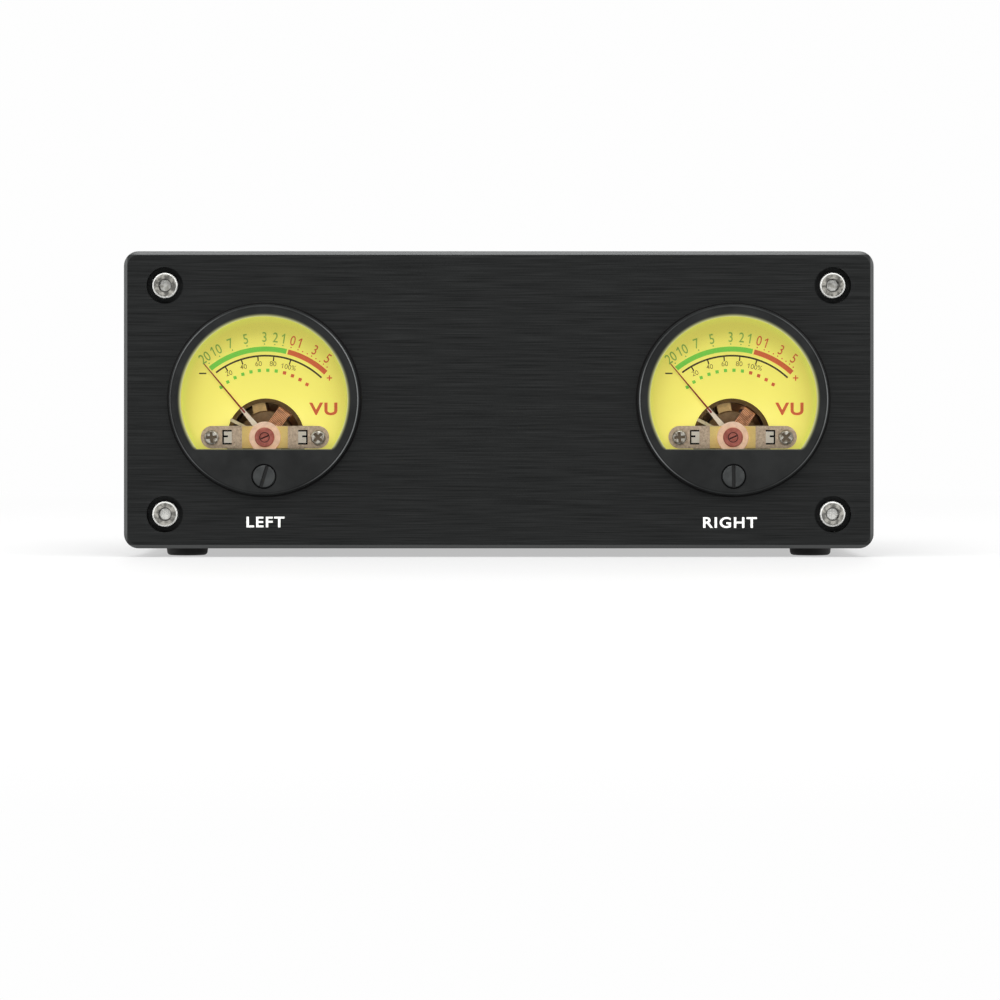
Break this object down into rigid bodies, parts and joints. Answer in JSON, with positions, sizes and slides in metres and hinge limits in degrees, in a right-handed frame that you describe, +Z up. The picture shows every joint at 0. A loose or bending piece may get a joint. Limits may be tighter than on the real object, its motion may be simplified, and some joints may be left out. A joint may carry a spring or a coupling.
{
  "type": "analog vu meter",
  "caption": "Analog level meter: round moving-coil dials behind D-shaped windows in a black brushed panel on a small metal case, with line inputs and a low-voltage power lead.",
  "frame": {"origin": "middle of the underside of the feet, under the centre of the object's box without its lead", "axes": "+X to the right as seen from the front, +Y from the front panel towards the back, +Z up"},
  "size_m": [0.164, 0.1469, 0.0669],
  "materials": {
    "amber": "translucent amber laminate",
    "arm": "cream lacquer",
    "bezel": "satin moulded",
    "board": "green lacquered laminate",
    "brass": "tinned brass",
    "case": "black anodised, fine bead blast",
    "clear": "clear polished",
    "components": "moulded",
    "copper": "enamelled copper wire",
    "dial": "translucent yellow, printed, lit from behind",
    "former": "satin",
    "frame": "die cast",
    "housing": "satin moulded",
    "jack_body": "moulded",
    "jack_metal": "gold coloured plate",
    "jewel_cap": "polished red",
    "lamp": "white strip board and lamps",
    "lead": "glossy vinyl",
    "lens": "clear polished",
    "needle": "dark red lacquer",
    "nickel": "bright nickel plate",
    "panel": "black anodised, fine horizontal brushing",
    "plug_grip": "satin vinyl",
    "pointer_arm": "pink lacquer",
    "red_insert": "moulded",
    "rubber": "matt",
    "spring": "bright",
    "steel": "zinc plate",
    "white_insert": "moulded",
    "wires": "insulation",
    "zero_screw": "moulded"
  },
  "bodies": {
    "root": {"board_components": "components", "bridge_insulators": "amber", "bridge_screws": "nickel", "case_sleeve": "case", "circuit_board": "board", "dc_plug_barrel": "nickel", "dc_plug_grip": "plug_grip", "front_panel": "panel", "front_panel_screws": "nickel", "hub_rings": "clear", "input_jack_shells": "jack_metal", "lead_cord": "lead", "lead_hank": "lead", "lead_tie": "lead", "left_bezel": "bezel", "left_bridge": "nickel", "left_housing": "housing", "left_input_jack": "white_insert", "left_jewel_screw": "jewel_cap", "left_lens": "lens", "left_magnet_core": "steel", "left_rear_frame": "frame", "left_scale_plate": "dial", "left_yoke_ring": "steel", "meter_lamps": "lamp", "meter_terminals": "brass", "meter_wires": "wires", "power_jack": "jack_body", "power_jack_pin": "jack_metal", "rear_panel": "case", "rear_panel_screws": "nickel", "retaining_rings": "housing", "right_bezel": "bezel", "right_bridge": "nickel", "right_housing": "housing", "right_input_jack": "red_insert", "right_jewel_screw": "jewel_cap", "right_lens": "lens", "right_magnet_core": "steel", "right_rear_frame": "frame", "right_scale_plate": "dial", "right_yoke_ring": "steel", "rubber_feet": "rubber", "usb_plug_grip": "plug_grip", "usb_plug_shell": "nickel"},
    "left_zero_screw": {"left_zero_screw": "zero_screw"},
    "left_zero_arm": {"left_zero_arm": "arm", "left_hairspring": "spring"},
    "left_pointer": {"left_pointer_arm": "pointer_arm", "left_needle": "needle", "left_coil": "copper", "left_coil_frame": "former"},
    "right_zero_screw": {"right_zero_screw": "zero_screw"},
    "right_zero_arm": {"right_zero_arm": "arm", "right_hairspring": "spring"},
    "right_pointer": {"right_pointer_arm": "pointer_arm", "right_needle": "needle", "right_coil": "copper", "right_coil_frame": "former"}
  },
  "joints": [
    {"name": "left_zero_adjust", "type": "hinge", "parent": "root", "child": "left_zero_screw", "pos_m": [-0.0512, -0.04305, 0.0177], "axis": [0, 1, 0], "range_deg": [-35, 35]},
    {"name": "left_zero_arm_turn", "type": "hinge", "parent": "root", "child": "left_zero_arm", "pos_m": [-0.0512, -0.03935, 0.0262], "axis": [0, 1, 0], "range_deg": [-4.65, 4.65]},
    {"name": "left_needle_swing", "type": "hinge", "parent": "left_zero_arm", "child": "left_pointer", "pos_m": [-0.0512, -0.03935, 0.0262], "axis": [0, 1, 0], "range_deg": [0, 83], "stiffness_Nm_per_rad": 0.0000015},
    {"name": "right_zero_adjust", "type": "hinge", "parent": "root", "child": "right_zero_screw", "pos_m": [0.0512, -0.04305, 0.0177], "axis": [0, 1, 0], "range_deg": [-35, 35]},
    {"name": "right_zero_arm_turn", "type": "hinge", "parent": "root", "child": "right_zero_arm", "pos_m": [0.0512, -0.03935, 0.0262], "axis": [0, 1, 0], "range_deg": [-4.65, 4.65]},
    {"name": "right_needle_swing", "type": "hinge", "parent": "right_zero_arm", "child": "right_pointer", "pos_m": [0.0512, -0.03935, 0.0262], "axis": [0, 1, 0], "range_deg": [0, 83], "stiffness_Nm_per_rad": 0.0000015}
  ],
  "couplings": [
    {"joint": "left_zero_adjust", "follows": "left_zero_arm_turn", "ratio": -7.5},
    {"joint": "right_zero_adjust", "follows": "right_zero_arm_turn", "ratio": -7.5}
  ]
}
